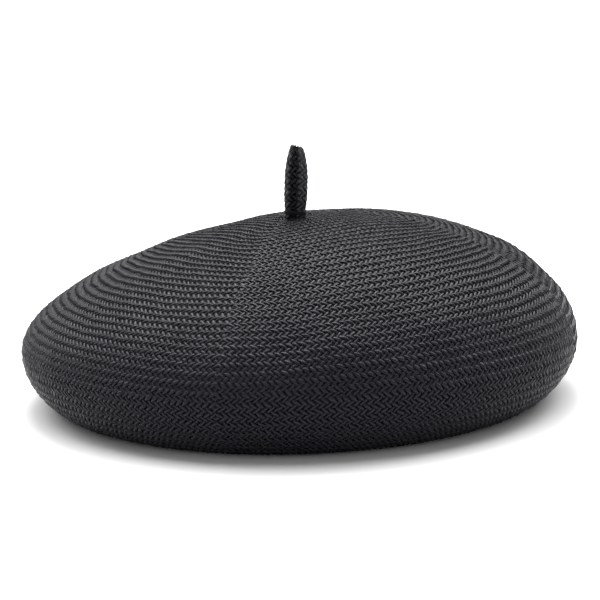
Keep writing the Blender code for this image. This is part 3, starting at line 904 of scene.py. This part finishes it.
class BERET_OT_bow(bpy.types.Operator):
    """Folds the flat bow and its middle wrap"""

    bl_idname = "beret.bow"
    bl_label = "Fold the bow"

    def execute(self, context):
        shape, trims = context.scene.beret_shape, context.scene.beret_trims
        cloth = bpy.data.materials["grosgrain_ribbon"]
        thick = trims.ribbon_thickness
        middle = -0.0065
        half, deep = trims.bow_length / 2, trims.bow_depth / 2 - thick / 2
        rings = 256
        turn = np.arange(rings) / rings * 2 * pi
        flat = np.abs(np.cos(turn)) ** 0.55 * np.sign(np.cos(turn))
        run = (half - thick / 2) * flat
        depth = deep * np.sin(turn) * (0.72 + 0.28 * np.abs(flat) ** 2)
        along = loop_way(run, depth)
        section = band_section(1.0, thick * 0.8, 4, 0.05)

        def place(ring, side):
            at = ring.astype(int) % rings
            up, out = section[side.astype(int)].T
            rib = np.cos(ring / 4 * 2 * pi)
            out = out * (1 + 0.2 * rib)
            pinch = 1 - 0.22 * np.exp(-(run[at] / 0.0042) ** 2)
            tall = trims.bow_height * pinch * up
            bow_run = run[at] + along[1, at] * out
            bow_depth = depth[at] - along[0, at] * out
            return near_angle(shape, pi / 2, -bow_run, middle + bow_depth, trims.bow_middle + tall)

        loops = swept("bow_folds", rings, len(section), place, cloth, closed=True)
        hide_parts("bow_loops")
        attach(loops, "hat")

        wrap_rings = 96
        round_it = np.arange(wrap_rings) / wrap_rings * 2 * pi
        tall = trims.bow_height * 0.78 / 2 + 0.0005
        fat = trims.bow_depth / 2 * 0.8 + 0.0005
        high_side = np.abs(np.cos(round_it)) ** 0.5 * np.sign(np.cos(round_it)) * tall
        deep_side = np.abs(np.sin(round_it)) ** 0.6 * np.sign(np.sin(round_it)) * fat
        way = loop_way(high_side, deep_side)
        wrap_section = band_section(trims.wrap_width, thick * 0.8, 3, 0.0004)

        def place_wrap(ring, side):
            at = ring.astype(int) % wrap_rings
            across, out = wrap_section[side.astype(int)].T
            out = out * (1 + 0.2 * np.cos(ring / 4 * 2 * pi))
            height = high_side[at] + way[1, at] * out
            depth_at = deep_side[at] - way[0, at] * out
            return near_angle(shape, pi / 2, across, middle + depth_at, trims.bow_middle + height)

        wrap = swept("bow_middle_wrap", wrap_rings, len(wrap_section), place_wrap, cloth, closed=True)
        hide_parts("bow_wrap")
        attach(wrap, "hat")
        return {"FINISHED"}


class BERET_OT_label(bpy.types.Operator):
    """Folds the blank label and tacks its top"""

    bl_idname = "beret.label"
    bl_label = "Sew on the label"

    def execute(self, context):
        shape, trims, colours = context.scene.beret_shape, context.scene.beret_trims, context.scene.beret_colours
        satin = label_finish(colours.label)
        hinge = next(joint for joint in frame["joints"] if joint["name"] == "label_flap")
        at = np.array(hinge["pos_m"])
        axis = np.array(hinge["axis"]) / np.linalg.norm(hinge["axis"])
        across_way = -axis
        out_way = np.array([-across_way[1], across_way[0], 0])
        upright = np.array([0, 0, 1.0])
        layer, gap = 0.00034, 0.00018
        bend = np.linspace(0, pi, 7)
        low = trims.label_height - layer / 2 - gap
        spread = layer / 2 + gap
        ups = np.linspace(0, -low, 12)
        path = [(spread, up) for up in ups]
        path += [(spread * cos(b), -low - spread * sin(b)) for b in bend[1:-1]]
        path += [(-spread, up) for up in ups[::-1]]
        path = np.array(path)
        along = np.gradient(path, axis=0)
        along /= np.hypot(*along.T)[:, None]
        section = band_section(trims.label_width, layer, 4, 0.0003)

        def place(ring, side):
            r = ring.astype(int)
            across, out = section[side.astype(int)].T
            curl = 0.0004 * (across / (trims.label_width / 2)) ** 2 * (path[r, 1] / trims.label_height)
            depth = path[r, 0] + along[r, 1] * out + curl
            height = path[r, 1] - along[r, 0] * out
            return at + across[:, None] * across_way + depth[:, None] * out_way + height[:, None] * upright

        label = swept("blank_label", len(path) - 1, len(section), place, satin)
        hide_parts("size_label")
        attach(label, "label")

        thread = bpy.data.materials["sewing_thread"]
        low_corner, high_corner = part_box("label_tack")
        level = (low_corner[2] + high_corner[2]) / 2
        places = np.linspace(-0.5, 0.5, 61)
        wave = np.cos(places * 2 * pi * 4)
        tack_path = at[None, :] * (1, 1, 0) + np.outer(places * trims.label_width, across_way)
        tack_path = tack_path + out_way * (0.00025 * (wave - 1))[:, None] + upright * level
        tack = thread_along("label_stitches", tack_path, 0.0003, thread, plies=0.2)
        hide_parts("label_tack")
        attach(tack, "hat")
        return {"FINISHED"}


class BERET_OT_stage(bpy.types.Operator):
    """Sets the floor, the lights and the camera"""

    bl_idname = "beret.stage"
    bl_label = "Set the stage"

    def execute(self, context):
        stage = context.scene.beret_stage
        bm = bmesh.new()
        bmesh.ops.create_grid(bm, x_segments=1, y_segments=1, size=6)
        data = bpy.data.meshes.new("floor")
        bm.to_mesh(data)
        bm.free()
        pale = bpy.data.materials.new("pale_floor")
        pale.use_nodes = True
        shader = pale.node_tree.nodes["Principled BSDF"]
        shader.inputs["Base Color"].default_value = (0.9, 0.9, 0.9, 1)
        shader.inputs["Roughness"].default_value = 0.9
        data.materials.append(pale)
        floor = bpy.data.objects.new("floor", data)
        context.scene.collection.objects.link(floor)

        world = bpy.data.worlds.new("studio")
        world.use_nodes = True
        background = world.node_tree.nodes["Background"]
        background.inputs["Color"].default_value = (1, 1, 1, 1)
        background.inputs["Strength"].default_value = 0.48
        context.scene.world = world
        context.scene.view_settings.view_transform = "Standard"

        def softbox(name, place, size, power):
            crown = Vector((0, 0, 0.05))
            lamp = bpy.data.lights.new(name, "AREA")
            lamp.shape = "RECTANGLE"
            lamp.size, lamp.size_y = size
            lamp.energy = power
            made = bpy.data.objects.new(name, lamp)
            made.location = place
            made.rotation_euler = (crown - Vector(place)).to_track_quat("-Z", "Y").to_euler()
            context.scene.collection.objects.link(made)

        softbox("softbox_left", (-0.75, 0.35, 0.75), (0.5, 0.5), 4.5)
        softbox("softbox_right", (0.75, 0.45, 0.75), (0.5, 0.5), 5.5)
        softbox("softbox_above", (-0.05, 0.55, 1.0), (0.7, 0.5), 9)
        sky = bpy.data.lights.new("overhead", "SUN")
        sky.energy = 2.9
        sky.angle = radians(60)
        overhead = bpy.data.objects.new("overhead", sky)
        overhead.rotation_euler = (radians(-16), 0, 0)
        context.scene.collection.objects.link(overhead)

        view = bpy.data.cameras.new("camera")
        view.lens = stage.lens
        view.sensor_width = 36
        camera = bpy.data.objects.new("camera", view)
        aim = Vector((0.001, 0, stage.aim))
        back = Vector((0, -cos(stage.elevation), sin(stage.elevation)))
        up = Vector((0, sin(stage.elevation), cos(stage.elevation)))
        right = Vector((1, 0, 0))
        turned_right = right * cos(stage.roll) - up * sin(stage.roll)
        turned_up = right * sin(stage.roll) + up * cos(stage.roll)
        axes = Matrix((turned_right, turned_up, back)).transposed()
        camera.matrix_world = Matrix.Translation(aim + back * stage.distance) @ axes.to_4x4()
        context.scene.collection.objects.link(camera)
        context.scene.camera = camera
        return {"FINISHED"}


class BERET_PT_panel(bpy.types.Panel):
    """Sizes, colours and steps of the beret"""

    bl_idname = "BERET_PT_panel"
    bl_label = "Straw beret"
    bl_space_type = "VIEW_3D"
    bl_region_type = "UI"
    bl_category = "Beret"

    def draw(self, context):
        for group in GROUPS:
            for name in GROUPS[group].__annotations__:
                self.layout.prop(getattr(context.scene, group), name)
        for step in STEPS:
            self.layout.operator(step.bl_idname)


GROUPS = {
    "beret_shape": BeretShape, "beret_plait": PlaitSizes, "beret_trims": TrimSizes,
    "beret_colours": BeretColours, "beret_stage": StageSizes,
}
STEPS = (
    BERET_OT_plait, BERET_OT_stalk, BERET_OT_stalk_stitches, BERET_OT_edge, BERET_OT_ribbon, BERET_OT_bow,
    BERET_OT_label, BERET_OT_stage,
)


def register():
    for group, kind in GROUPS.items():
        bpy.utils.register_class(kind)
        setattr(bpy.types.Scene, group, PointerProperty(type=kind))
    for kind in (*STEPS, BERET_PT_panel):
        bpy.utils.register_class(kind)


def unregister():
    for kind in (BERET_PT_panel, *reversed(STEPS)):
        bpy.utils.unregister_class(kind)
    for group, kind in GROUPS.items():
        delattr(bpy.types.Scene, group)
        bpy.utils.unregister_class(kind)


def main():
    register()
    bpy.ops.beret.plait()
    bpy.ops.beret.stalk()
    bpy.ops.beret.stalk_stitches()
    bpy.ops.beret.edge()
    bpy.ops.beret.ribbon()
    bpy.ops.beret.bow()
    bpy.ops.beret.label()
    bpy.ops.beret.stage()


if __name__ == "__main__":
    main()
